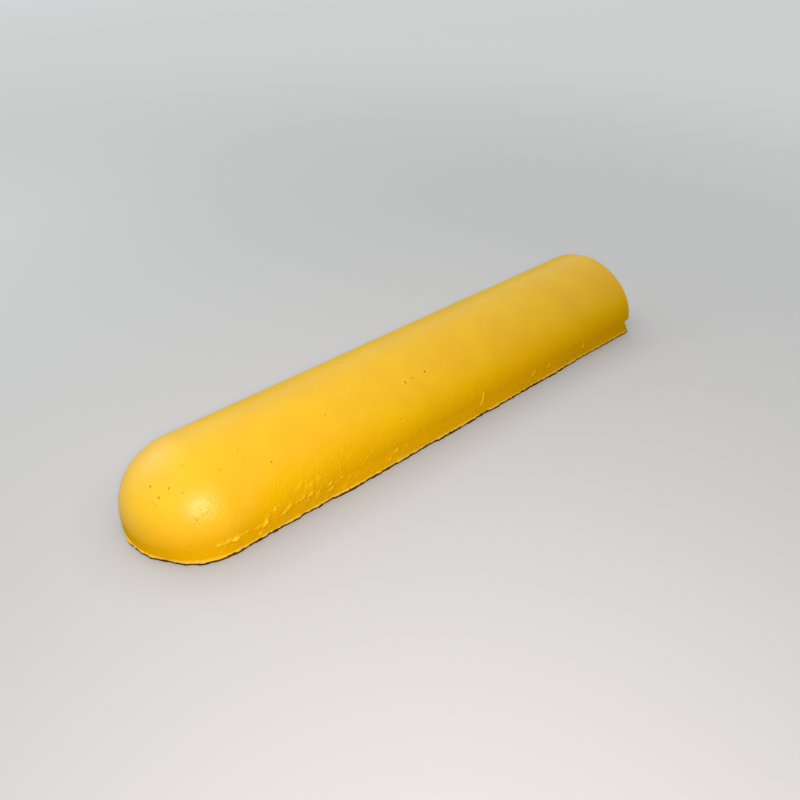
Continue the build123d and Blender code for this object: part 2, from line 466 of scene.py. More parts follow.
# The skirt: its rail wasn't true, so on the -Y side the foot wanders, by run beyond the nose and reach
RAIL_LINE = [
    (-0.42, 0.0),
    (-0.36, -0.002),
    (-0.20, -0.004),
    (-0.10, 0.003),
    (0.00, 0.001),
    (0.28, 0.0),
    (0.36, 0.0055),
    (1.00, 0.0055),
    (1.35, 0.0015),
    (1.63, 0.003),
]


def along_line(line, run):
    """A value at each run, read from a line of places beyond the nose on the -Y side and their values."""
    places, values = np.array(line).T
    return np.interp(-run - NOSE_RUN, places, values)


def skirt_relief(run, climb):
    """How far the skirt stands out: the rail's reach, full at the floor and fading evenly up to the seam."""
    return along_line(RAIL_LINE, run) * np.clip(1 - climb / SKIRT_HEIGHT, 0, 1)


# The lip: a thin sheet of spilt cement above a foot that stands back. Its edge runs out and in on the -Y
# side, by run beyond the nose and reach, in scallops round the nose
LIP_SCALLOPS = [
    (-0.4, 0.0005),
    (-0.37, -0.001),
    (-0.33, 0.0035),
    (-0.306, 0.0005),
    (-0.27, 0.0025),
    (-0.24, 0.004),
    (-0.225, 0.0005),
    (-0.175, 0.0),
    (-0.15, 0.0045),
    (-0.135, 0.0015),
    (-0.106, 0.005),
    (-0.084, 0.0025),
    (-0.07, 0.004),
    (-0.047, 0.003),
    (-0.032, 0.0005),
    (-0.016, 0.0035),
    (0.0, 0.0015),
    (0.08, 0.0005),
    (0.16, 0.002),
    (0.2, 0.0005),
    (0.235, 0.003),
    (0.28, 0.0015),
    (0.33, 0.004),
    (0.4, 0.0015),
    (0.6, 0.0015),
    (0.615, -0.0005),
    (0.66, -0.0005),
    (0.68, 0.0025),
    (0.82, 0.0025),
    (0.88, -0.0005),
    (0.91, 0.0035),
    (1.1, 0.0),
    (1.22, 0.004),
    (1.35, 0.0015),
]
LIP_OVERHANG = 0.0010
FOOT_TOP = 0.0050
LIP_LOW = 0.0064
LIP_TOP = 0.0074
LIP_TOP_WANDER = 0.0016
LIP_TOP_LAYER = 2
LIP_FLARE = 0.0032
LIP_CRUMB = 0.008
LIP_CRUMB_REACH = 0.0018
LIP_CRUMB_LAYER = 3
LIP_LEAST = 0.0004


def lip_relief(run, climb, points):
    """How far the foot and the lip stand out from the skirt. The lip's edge follows its scallops, made
    crumbly with noise, and the foot follows the edge, set back by the overhang."""
    lip_top = LIP_TOP + LIP_TOP_WANDER * grain_along(run, LIP_CRUMB, LIP_TOP_LAYER)
    standing = 1 - ease(lip_top, lip_top + LIP_FLARE, climb)
    crumbs = LIP_CRUMB_REACH * grain(points, LIP_CRUMB, LIP_CRUMB_LAYER)
    edge = np.maximum(LIP_REACH + along_line(LIP_SCALLOPS, run) + crumbs, LIP_LEAST)
    above_foot = ease(FOOT_TOP, LIP_LOW, climb)
    return standing * (edge - LIP_OVERHANG * (1 - above_foot))


# The seam: a bead along the skirt's top edge, by run beyond the nose and climb, worst where the nose ends
SEAM_LINE = [
    (-0.075, 0.046),
    (-0.035, 0.045),
    (-0.014, 0.046),
    (0.007, 0.050),
    (0.037, 0.044),
    (0.067, 0.039),
    (0.078, 0.048),
    (0.105, 0.052),
]
SEAM_LEDGE = 0.0005
SEAM_BEAD = 0.0012
SEAM_BEAD_REACH = 0.0020
SEAM_DROP = 0.004
SEAM_WANDER = 0.0015
SEAM_WANDER_LENGTH = 0.06
SEAM_WANDER_LAYER = 4
SEAM_BREAK_LENGTH = 0.018
SEAM_BREAK_SHARPNESS = 0.35
SEAM_BREAK_LAYER = 5
SEAM_WORST_FROM = NOSE_RUN - 0.075
SEAM_WORST_TO = NOSE_RUN + 0.080
SEAM_FADE = 0.03
SEAM_WORST_SHARE = 1.8
SEAM_WORST_BREAK = 0.9
SEAM_LEAST_SHARE = 0.12
SEAM_CRUMB = 0.006
SEAM_CRUMB_REACH = 0.005
SEAM_CRUMB_SHARE = 2.4
SEAM_CRUMB_LAYER = 6
# Lumps of spilt cement on the -Y side, drawn out aslant: run beyond the nose, climb, radius and height
LUMPS = [
    (-0.059, 0.046, 0.005, 0.0016),
    (-0.035, 0.046, 0.005, 0.0034),
    (-0.014, 0.047, 0.005, 0.0034),
    (0.078, 0.050, 0.005, 0.0044),
    (0.107, 0.070, 0.005, 0.0028),
    (0.138, 0.046, 0.005, 0.0034),
    (0.150, 0.053, 0.005, 0.0034),
    (0.191, 0.100, 0.005, 0.0022),
    (0.223, 0.080, 0.005, 0.0026),
    (0.197, 0.061, 0.005, 0.0026),
    (0.218, 0.056, 0.004, 0.0022),
    (0.243, 0.045, 0.004, 0.0022),
    (0.286, 0.034, 0.004, 0.0022),
    (0.283, 0.056, 0.004, 0.0022),
    (0.332, 0.018, 0.004, 0.0022),
    (0.493, 0.025, 0.005, 0.0024),
    (0.523, 0.045, 0.005, 0.0024),
    (0.780, 0.212, 0.004, 0.0012),
    (0.972, 0.271, 0.004, 0.0012),
    (1.114, 0.043, 0.005, 0.0030),
    (1.189, 0.041, 0.005, 0.0020),
    (1.372, 0.043, 0.005, 0.0030),
]
LUMP_STRETCH = 1.8
LUMP_CRAG = 0.007
LUMP_CRAG_SHARE = 0.8
LUMP_CRAG_LAYER = 7
# Patches of cement crust on the -Y side: run beyond the nose, climb, reach and height
CRUSTS = [
    (0.205, 0.058, 0.026, 0.0021),
    (0.225, 0.088, 0.020, 0.0021),
    (0.110, 0.060, 0.025, 0.0018),
    (0.250, 0.120, 0.070, 0.0009),
]
CRUST_GRAIN = 0.0075
CRUST_LAYER = 8


def aslant(onward, up, stretch):
    """Distance from the middle of a spot that is drawn out by that factor along a slant, onward and up."""
    return np.hypot((onward + up) / stretch, up - onward) / math.sqrt(2)


def seam_relief(run, climb, points):
    """The ledge at the seam, which rises evenly up the skirt and drops back, with a bead and crumbs on its
    edge, and then single lumps and patches of crust, all made craggy with noise."""
    near = -run
    seam = along_line(SEAM_LINE, -np.abs(run))
    seam += SEAM_WANDER * grain_along(run, SEAM_WANDER_LENGTH, SEAM_WANDER_LAYER)
    worst = ease(SEAM_WORST_FROM, SEAM_WORST_FROM + SEAM_FADE, near)
    worst = worst * (1 - ease(SEAM_WORST_TO, SEAM_WORST_TO + SEAM_FADE, near))
    breaks = grain_along(run, SEAM_BREAK_LENGTH, SEAM_BREAK_LAYER)
    broken = ease(-SEAM_BREAK_SHARPNESS, SEAM_BREAK_SHARPNESS, breaks)
    whole = SEAM_WORST_SHARE * (1 - SEAM_WORST_BREAK * (1 - broken))
    strength = SEAM_LEAST_SHARE * broken * (1 - worst) + whole * worst
    rise = np.clip((climb - LIP_TOP - LIP_FLARE) / (seam - LIP_TOP - LIP_FLARE), 0, 1)
    ledge = SEAM_LEDGE * strength * rise * (1 - ease(seam, seam + SEAM_DROP, climb))
    bead = SEAM_BEAD * strength * hump(climb - seam, SEAM_BEAD_REACH)
    crumbs = np.clip(grain(points, SEAM_CRUMB, SEAM_CRUMB_LAYER), 0, 1)
    crumbs = crumbs * hump(climb - seam, SEAM_CRUMB_REACH)
    relief = ledge + bead + SEAM_CRUMB_SHARE * SEAM_BEAD * strength * crumbs
    crag = 1 + LUMP_CRAG_SHARE * grain(points, LUMP_CRAG, LUMP_CRAG_LAYER)
    for beyond, lump_climb, radius, rise in LUMPS:
        away = aslant(near - NOSE_RUN - beyond, climb - lump_climb, LUMP_STRETCH)
        relief += rise * crag * hump(away, radius)
    crust = np.clip(grain(points, CRUST_GRAIN, CRUST_LAYER), 0, 1)
    for beyond, crust_climb, reach, rise in CRUSTS:
        relief += rise * crust * hump(np.hypot(near - NOSE_RUN - beyond, climb - crust_climb), reach)
    return relief


# The arch: slow waves from the mould, pimples low down, and a wrinkled patch on the nose
WAVE_LENGTH = 0.22
WAVE_DEPTH = 0.0010
WAVE_LAYER = 10
PIMPLE_SIZE = 0.009
PIMPLE_DEPTH = 0.00025
PIMPLE_LAYER = 11
PIMPLE_PATCH = 0.08
PIMPLE_PATCH_LEAST = 0.5
PIMPLE_PATCH_SHARPNESS = 0.3
PIMPLE_PATCH_LAYER = 9
PIMPLE_FULL_HEIGHT = 0.09
PIMPLE_TOP_HEIGHT = 0.20
PIMPLE_FULL_RUN = NOSE_RUN + 0.35
PIMPLE_LAST_RUN = NOSE_RUN + 1.0
PIMPLE_LEAST = 0.5
PIMPLE_NOSE_END = NOSE_RUN - 0.10
WRINKLE_RUN = NOSE_RUN - 0.080
WRINKLE_CLIMB = 0.156
WRINKLE_REACH = 0.034
WRINKLE_SIZE = 0.0065
WRINKLE_DEPTH = 0.0014
WRINKLE_LAYER = 12


def pimpled(run, points):
    """How pimpled the paint is, from 0 to 1: fully in the lower part beyond the nose, in patches, and less
    towards the crown, the tail and the tip of the nose."""
    low_part = 1 - ease(PIMPLE_FULL_HEIGHT, PIMPLE_TOP_HEIGHT, points[:, 2])
    front_part = 1 - (1 - PIMPLE_LEAST) * ease(PIMPLE_FULL_RUN, PIMPLE_LAST_RUN, np.abs(run))
    front_part = front_part * ease(PIMPLE_NOSE_END, NOSE_RUN, np.abs(run))
    patches = grain(points, PIMPLE_PATCH, PIMPLE_PATCH_LAYER)
    patches = ease(-PIMPLE_PATCH_SHARPNESS, PIMPLE_PATCH_SHARPNESS, patches)
    return low_part * front_part * (PIMPLE_PATCH_LEAST + (1 - PIMPLE_PATCH_LEAST) * patches)


def wrinkled(run, climb):
    """How wrinkled the paint is: 1 in the middle of the patch on the nose, and fading round it."""
    return hump(np.hypot(-run - WRINKLE_RUN, climb - WRINKLE_CLIMB), WRINKLE_REACH)


def arch_relief(run, climb, points):
    """What the mould and the paint left on the arch: slow waves, pimples in patches, and wrinkles."""
    relief = WAVE_DEPTH * grain(points, WAVE_LENGTH, WAVE_LAYER)
    relief += PIMPLE_DEPTH * pimpled(run, points) * grain(points, PIMPLE_SIZE, PIMPLE_LAYER)
    return relief + WRINKLE_DEPTH * wrinkled(run, climb) * grain(points, WRINKLE_SIZE, WRINKLE_LAYER)


# The shoulder on the +Y side, which is a little hollow just past the crown, by run beyond the nose and depth
SHOULDER_LINE = [(-0.2, 0.0), (0.05, 0.0024), (0.35, 0.0009), (0.85, 0.0009), (1.20, 0.0018), (1.63, 0.0026)]
SHOULDER_NEAR = 0.05
SHOULDER_FAR = 0.11
SHOULDER_END = 0.22


def shoulder_relief(run, climb):
    """The hollow of the far shoulder: none at the crown, full between two distances from it, and none
    lower down."""
    down = END_CLIMB - climb
    hollow = ease(0, SHOULDER_NEAR, down) * (1 - ease(SHOULDER_FAR, SHOULDER_END, down))
    return -hollow * along_line(SHOULDER_LINE, -run) * (run > 0)


# A run of paint that dried as a raised, curved line: run and climb of its two ends
PAINT_RUN_LOW = (NOSE_RUN + 0.866, 0.036)
PAINT_RUN_HIGH = (NOSE_RUN + 0.880, 0.080)
PAINT_RUN_REACH = 0.0030
PAINT_RUN_HEIGHT = 0.0030
PAINT_RUN_FADE = 0.1


def paint_run_relief(run, climb):
    """The paint run: a ridge along a parabola between its two ends, where it fades."""
    share = (climb - PAINT_RUN_LOW[1]) / (PAINT_RUN_HIGH[1] - PAINT_RUN_LOW[1])
    centre = PAINT_RUN_LOW[0] + (PAINT_RUN_HIGH[0] - PAINT_RUN_LOW[0]) * share * (2 - share)
    begun = ease(-PAINT_RUN_FADE, PAINT_RUN_FADE, share)
    ended = ease(1 - PAINT_RUN_FADE, 1 + PAINT_RUN_FADE, share)
    within = begun * (1 - ended)
    return PAINT_RUN_HEIGHT * within * hump(-run - centre, PAINT_RUN_REACH)


# Specks of grit and spatter under the paint, most of them low down and towards the nose
SPECKS = 500
SPECK_SEED = 23
SPECK_RADII = (0.0018, 0.0040)
SPECK_STRETCH = 1.2
SPECK_RISE = 0.44
SPECK_CRAG = 0.005
SPECK_CRAG_LAYER = 14
# One speck in this many leans the other way
SPECK_LEANS = 3
SPECK_EXTENT = 4.0
SPECK_FIRST_RUN = NOSE_RUN + 0.05
SPECK_TOP = 0.24
SPECK_CROWDING = 1.7


def speck_relief(run, climb, points):
    """Specks scattered over both sides by a seeded draw, each a bell whose height is a share of its radius,
    and which is drawn out aslant by up to SPECK_STRETCH of its radius. Noise makes them craggy, and they fade
    where the paint isn't pimpled."""
    draw = np.random.default_rng(SPECK_SEED)
    relief = np.zeros_like(run)
    for number in range(SPECKS):
        side = 1 if number % 2 else -1
        along, up, size, stretch = draw.random(4) ** SPECK_CROWDING
        speck_run = side * (SPECK_FIRST_RUN + (END_RUN - SPECK_FIRST_RUN) * along)
        radius = SPECK_RADII[0] + (SPECK_RADII[1] - SPECK_RADII[0]) * size
        close = np.abs(run - speck_run) < SPECK_EXTENT * radius
        lean = side if number % SPECK_LEANS else -side
        onward = lean * (run[close] - speck_run)
        away = aslant(onward, climb[close] - SPECK_TOP * up, 1 + SPECK_STRETCH * stretch)
        relief[close] += SPECK_RISE * radius * hump(away, radius)
    return relief * pimpled(run, points) * (1 + grain(points, SPECK_CRAG, SPECK_CRAG_LAYER))


# The broken corner on the -Y side of the tail, where the skirt slopes back from the lip to the seam, and the
# crack that runs in from it
CORNER_DEPTH = 0.020
CORNER_TOP = 0.0425
CORNER_END = 0.0520
CORNER_RUN = 0.034
CORNER_WIDTH = 0.12
CRACK_CLIMB = 0.0465
CRACK_DEPTH = 0.005
CRACK_REACH = 0.003
# Unevenness of the tail face
TAIL_WAVE = 0.05
TAIL_WAVE_DEPTH = 0.0008
TAIL_WAVE_LAYER = 13


def corner_pull(run, climb):
    """How far points near the corner are drawn back towards the nose: nothing at the lip, growing evenly up
    to CORNER_TOP, and soon nothing again above the seam."""
    near_tail = ease(END_RUN - CORNER_RUN, END_RUN, -run)
    slope = np.clip((climb - LIP_TOP) / (CORNER_TOP - LIP_TOP), 0, 1)
    return CORNER_DEPTH * near_tail * slope * (1 - ease(CORNER_TOP, CORNER_END, climb))


def corner_crack(run, climb):
    """The crack that runs in from the broken corner along the seam."""
    near_tail = ease(END_RUN - CORNER_RUN, END_RUN - RIM_RADIUS, -run)
    return -CRACK_DEPTH * near_tail * hump(climb - CRACK_CLIMB, CRACK_REACH)


# Bug holes, left by air bubbles against the mould, on the -Y side: run beyond the nose, climb and radius
BUG_HOLES = [
    (-0.272, 0.203, 0.0034),
    (-0.222, 0.186, 0.0030),
    (-0.196, 0.213, 0.0026),
    (-0.103, 0.134, 0.0021),
    (-0.163, 0.275, 0.0021),
    (-0.295, 0.192, 0.0022),
    (-0.240, 0.170, 0.0022),
    (-0.224, 0.164, 0.0022),
    (-0.140, 0.203, 0.0019),
    (-0.090, 0.158, 0.0017),
    (0.019, 0.236, 0.0021),
    (0.086, 0.262, 0.0022),
    (0.112, 0.178, 0.0017),
    (0.145, 0.194, 0.0026),
    (0.200, 0.207, 0.0016),
    (0.352, 0.242, 0.0024),
    (0.554, 0.135, 0.0024),
    (0.628, 0.223, 0.0040),
    (0.655, 0.226, 0.0030),
    (0.707, 0.226, 0.0042),
]
# One more on the +Y side, near the crown
FAR_BUG_HOLE = (0.532, 0.298, 0.0036)
# Rings of the mesh round a hole, half the width of the room for them, and the hole's depth, by its radius
HOLE_RINGS = np.array([1.45, 1.12, 1.0, 0.9, 0.7, 0.35, 0.0])
HOLE_ROOM = 1.6
HOLE_DEPTH = 1.1
# How far a hole's centre may lie from the nearest point of the grid, in cells
HALF_CELL = 0.5
# Smaller holes, scattered: their number and seed, and ranges of run, as a share of its end, climb and radius
SCATTERED_HOLES = 26
SCATTER_SEED = 11
SCATTER_RUNS = (0.32, 0.97)
SCATTER_CLIMBS = (0.10, 0.28)
SCATTER_RADII = (0.0008, 0.0019)


def all_holes():
    """The holes placed one by one, and smaller ones scattered over both sides by a seeded draw."""
    holes = [(-NOSE_RUN - beyond, climb, radius) for beyond, climb, radius in BUG_HOLES]
    beyond, climb, radius = FAR_BUG_HOLE
    holes.append((NOSE_RUN + beyond, climb, radius))
    draw = np.random.default_rng(SCATTER_SEED)
    for number in range(SCATTERED_HOLES):
        side = 1 if number % 2 else -1
        run = side * draw.uniform(*SCATTER_RUNS) * END_RUN
        climb = draw.uniform(*SCATTER_CLIMBS)
        holes.append((run, climb, draw.uniform(*SCATTER_RADII)))
    return holes


# Steps in which the density of the grid is summed
DENSITY_STEPS = 4000


def closer_at(end, count, spots):
    """Values from 0 to end that lie closer round each spot, given as place, reach and extra density:
    the density is summed along the way, and the values divide its total evenly."""
    fine = np.linspace(0, end, DENSITY_STEPS)
    density = 1 + sum(extra * hump(fine - place, reach) for place, reach, extra in spots)
    total = running_sum((density[1:] + density[:-1]) / 2)
    return np.interp(np.linspace(0, total[-1], count), total, fine)


def let_in_hole(grid, kept, runs, climbs, hole, first_new):
    """Cut a block out of the grid round a hole and fill it with rings that run from the block's edge to the
    hole's centre. Returns the rings' runs, climbs, shares of the depth, radii and faces, or None if another
    hole is in the way."""
    run, climb, radius = hole
    column = np.abs(runs - run).argmin()
    row = np.abs(climbs - climb).argmin()
    angle = max(climb - SKIRT_HEIGHT, 0) / ARCH_PACE
    shrink = math.cos(angle) if abs(run) < NOSE_RUN else 1.0
    wide = math.ceil(HOLE_ROOM * radius / (shrink * (runs[column + 1] - runs[column])) + HALF_CELL)
    tall = math.ceil(HOLE_ROOM * radius / (climbs[row + 1] - climbs[row]) + HALF_CELL)
    left, right, low, high = column - wide, column + wide, row - tall, row + tall
    if not kept[left:right, low:high].all():
        return None
    kept[left:right, low:high] = False
    edge = np.concatenate([
        grid[left:right, low],
        grid[right, low:high],
        grid[right:left:-1, high],
        grid[left, high:low:-1],
    ])
    across = runs[edge // len(climbs)] - run
    up = climbs[edge % len(climbs)] - climb
    bearing = np.arctan2(up, across * shrink)
    reach = radius * HOLE_RINGS[:, None]
    ring_run = run + reach * np.cos(bearing) / shrink
    ring_climb = climb + reach * np.sin(bearing)
    inside = np.sqrt(np.clip(1 - HOLE_RINGS**2, 0, 1))
    sunk = np.repeat(inside[:, None], len(edge), axis=1)
    rings = np.vstack([edge, first_new + np.arange(reach.size * len(edge)).reshape(-1, len(edge))])
    after = np.roll(rings, -1, axis=1)
    faces = np.stack([rings[:-1], after[:-1], after[1:], rings[1:]], axis=-1).reshape(-1, 4)
    return ring_run.ravel(), ring_climb.ravel(), sunk.ravel(), np.full(sunk.size, radius), faces


# The radius from which a hole is as dark as it gets, and the height from which what stands proud gets the
# full painted highlight
FULL_HOLE_RADIUS = 0.003
FULL_HIGHLIGHT_HEIGHT = 0.0022
# Where the columns and the rows of the grid lie closer: place, reach and extra density
COLUMN_SPOTS = [(END_RUN, 0.012, 5.0), (PAINT_RUN_LOW[0], 0.03, 1.2), (NOSE_RUN + 0.1, 0.2, 0.6)]
ROW_SPOTS = [(0.006, 0.006, 3.6), (SKIRT_HEIGHT, 0.012, 1.8), (END_CLIMB, 0.1, -0.4)]
# Power that draws the steps over the tail together near its -Y side
CROSS_CROWDING = 1.5


def note(mesh, name, values, behind):
    """Keep a value for each point of the mesh. Points past the end of the values get 0."""
    padded = np.zeros(behind.max() + 1)
    padded[:len(values)] = values[:len(padded)]
    kept = mesh.attributes.new(name, "FLOAT", "POINT")
    kept.data.foreach_set("value", padded[behind].astype(np.float32))


def block_mesh():
    """The painted sides, the tail face and the bare base as one closed mesh, with the depth of the bug holes
    and how far the paint stands proud, which sets its painted highlight, as attributes. The -Y side, which
    the photograph shows, has more columns, so each is paired with a column of the +Y side, whose crown point
    it shares. The tail and the base are ruled from side to side."""
    far_runs = closer_at(END_RUN, FAR_COLUMNS, COLUMN_SPOTS)
    column = np.linspace(0, FAR_COLUMNS - 1, NEAR_COLUMNS)
    near_runs = np.interp(column, np.arange(FAR_COLUMNS), far_runs)
    runs = np.concatenate([-near_runs[:0:-1], far_runs])
    climbs = closer_at(END_CLIMB, ROWS, ROW_SPOTS)
    grid = np.arange(len(runs) * ROWS).reshape(len(runs), ROWS)
    near_grid = grid[NEAR_COLUMNS - 1::-1]
    paired_grid = grid[NEAR_COLUMNS - 1:][np.round(column).astype(int)]
    run = np.repeat(runs, ROWS)
    climb = np.tile(climbs, len(runs))
    kept = np.ones((len(runs) - 1, ROWS - 1), bool)
    more = []
    new_count = grid.size
    for hole in all_holes():
        rings = let_in_hole(grid, kept, runs, climbs, hole, new_count)
        if rings is not None:
            more.append(rings)
            new_count += len(rings[0])
    ring_run, ring_climb, ring_sunk, ring_radius, ring_faces = [np.concatenate(part) for part in zip(*more)]
    run = np.concatenate([run, ring_run])
    climb = np.concatenate([climb, ring_climb])
    sunk = np.concatenate([np.zeros(grid.size), ring_sunk])
    radius = np.concatenate([np.zeros(grid.size), ring_radius])

    smooth, normals = cast_form(run, climb)
    proud = seam_relief(run, climb, smooth) + speck_relief(run, climb, smooth) + paint_run_relief(run, climb)
    relief = skirt_relief(run, climb) + lip_relief(run, climb, smooth) + arch_relief(run, climb, smooth)
    relief += proud
    relief += shoulder_relief(run, climb) + corner_crack(run, climb) - HOLE_DEPTH * radius * sunk
    points = smooth + normals * relief[:, None]
    points[:, 0] -= corner_pull(run, climb)
    points[grid[:, 0], 2] = 0
    points[near_grid[:, -1]] = points[paired_grid[:, -1]]

    share = np.linspace(0, 1, CROSS_STEPS + 1)[:, None] ** CROSS_CROWDING
    near_rim = points[grid[0]][:, None]
    far_rim = points[grid[-1]][:, None]
    tail_points = near_rim * (1 - share) + far_rim * share
    settled = ease(0, CORNER_WIDTH, share)
    tail_points[..., :1] = near_rim[..., :1] * (1 - settled) + far_rim[..., :1] * settled
    uneven = grain(tail_points.reshape(-1, 3), TAIL_WAVE, TAIL_WAVE_LAYER).reshape(tail_points.shape[:2])
    tail_points[..., 0] += TAIL_WAVE_DEPTH * (uneven - 1) * np.sin(math.pi * share[:, 0])
    tail_grid = len(points) + np.arange(uneven.size).reshape(uneven.shape)
    base_grid = np.stack([near_grid[:, 0], paired_grid[:, 0]], axis=1)

    everything = np.concatenate([points, tail_points.reshape(-1, 3)])
    sides = grid_faces(grid)[kept.ravel()]
    base = grid_faces(base_grid)
    faces = np.concatenate([sides, ring_faces, grid_faces(tail_grid), base])[:, ::-1]
    joined, behind, whole, triangles, face_behind = merged(everything, faces)
    bare = face_behind >= len(faces) - len(base)
    mesh = bpy.data.meshes.new("painted_block")
    mesh.from_pydata(joined.tolist(), [], whole.tolist() + triangles.tolist())
    mesh.polygons.foreach_set("use_smooth", ~bare)
    mesh.polygons.foreach_set("material_index", bare.astype(np.int32))
    note(mesh, "hole_depth", sunk * np.clip(radius / FULL_HOLE_RADIUS, 0, 1), behind)
    note(mesh, "proud_highlight", np.clip(proud / FULL_HIGHLIGHT_HEIGHT, 0, 1), behind)
    return mesh


# The paint: its colours, slow patches and sheen
PAINT_COLOUR = (0.88, 0.525, 0.0015, 1.0)
PAINT_DEEP_COLOUR = (0.85, 0.49, 0.0015, 1.0)
PAINT_LOW_COLOUR = (0.87, 0.48, 0.001, 1.0)
# A paler, whiter tone on the lip: a painted highlight
LIP_HIGHLIGHT_COLOUR = (0.64, 0.50, 0.10, 1.0)
# A paler colour on what stands proud, a painted highlight, and its share
PROUD_HIGHLIGHT_COLOUR = (0.96, 0.66, 0.03, 1.0)
PROUD_HIGHLIGHT_SHARE = 0.4
# Dark brown at the foot, under the lip: painted shade
FOOT_SHADE_COLOUR = (0.08, 0.036, 0.003, 1.0)
# Dark inside the bug holes, more so deeper down: dirt, and painted shade
HOLE_COLOUR = (0.36, 0.20, 0.01, 1.0)
# Depths of a hole, as shares, at which its shade starts and is full
HOLE_SHADE_FROM = 0.2
HOLE_SHADE_FULL = 0.7
PAINT_PATCH = 0.12
PAINT_PATCH_DETAIL = 4.0
# Levels of the noise at which a patch is deep and even
PAINT_PATCH_DEEP = 0.35
PAINT_PATCH_EVEN = 0.65
PAINT_ROUGHNESS = 0.43
# How much rougher a patch and the skin make the paint, up and down from the middle of the noise
PATCH_ROUGHNESS = 0.08
PEEL_ROUGHNESS = 0.06
NOISE_MIDDLE = 0.5
# The paint is deeper low down
DEEP_HEIGHT = 0.04
EVEN_HEIGHT = 0.13
# Dust has dulled it there, and half as much on the +Y side, but less so round the nose
DULL_HEIGHT = 0.09
SHEEN_HEIGHT = 0.18
NOSE_SHEEN_DROP = 0.07
NOSE_SHEEN_FROM = NOSE_X + 0.15
NOSE_SHEEN_FULL = NOSE_X - 0.05
FAR_SHEEN_END = 0.030
FAR_DULL_START = 0.085
FAR_DULL_SHARE = 0.5
# Skin of the paint, like orange peel, and the heights from which it grows stronger and is full
PEEL_SIZE = 0.006
PEEL_DETAIL = 3.0
PEEL_DEPTH = 0.0012
PEEL_LEAST = 0.4
PEEL_TOP = 0.20
PEEL_LOW = 0.08
# Fine grit under the paint, in patches on the lower sides, most of it towards the nose: FROM and FULL are
# levels of its noise, TOP and LOW are heights, and END and START are places along the block
GRIT_SIZE = 0.0055
GRIT_DETAIL = 2.0
GRIT_FROM = 0.57
GRIT_FULL = 0.66
GRIT_DEPTH = 0.0009
GRIT_PATCH = 0.06
GRIT_PATCH_DETAIL = 3.0
GRIT_PATCH_FROM = 0.38
GRIT_PATCH_FULL = 0.56
GRIT_TOP = 0.19
GRIT_LOW = 0.10
GRIT_END = -0.18
GRIT_START = -0.38
GRIT_LEAST = 0.65
GRIT_SLANT = -math.pi / 4
GRIT_STRETCH = 1.5
# Share of the painted highlight that makes the grit paler
GRIT_HIGHLIGHT_SHARE = 0.5
# Painted shade at the foot, lighter near the tail, and a painted highlight that makes the lip pale: TOP and
# LOW are heights, TAIL values are places along the block, and PALE_FROM and PALE_FULL are levels of the noise
EDGE_NOISE_PATCH = 0.010
EDGE_NOISE_DETAIL = 4.0
EDGE_WANDER = 0.006
FOOT_SHADE_TOP = 0.0076
FOOT_SHADE_LOW = 0.0062
FOOT_SHADE_TAIL_FROM = 0.50
FOOT_SHADE_TAIL_FULL = 0.70
FOOT_SHADE_DROP = 0.4
PALE_LOW = 0.0100
PALE_TOP = 0.0135
PALE_FROM = 0.36
PALE_FULL = 0.60
PALE_SHARE = 0.9
BASE_COLOUR = (0.44, 0.43, 0.40, 1.0)
BASE_DARK_COLOUR = (0.31, 0.30, 0.28, 1.0)
BASE_PATCH = 0.09


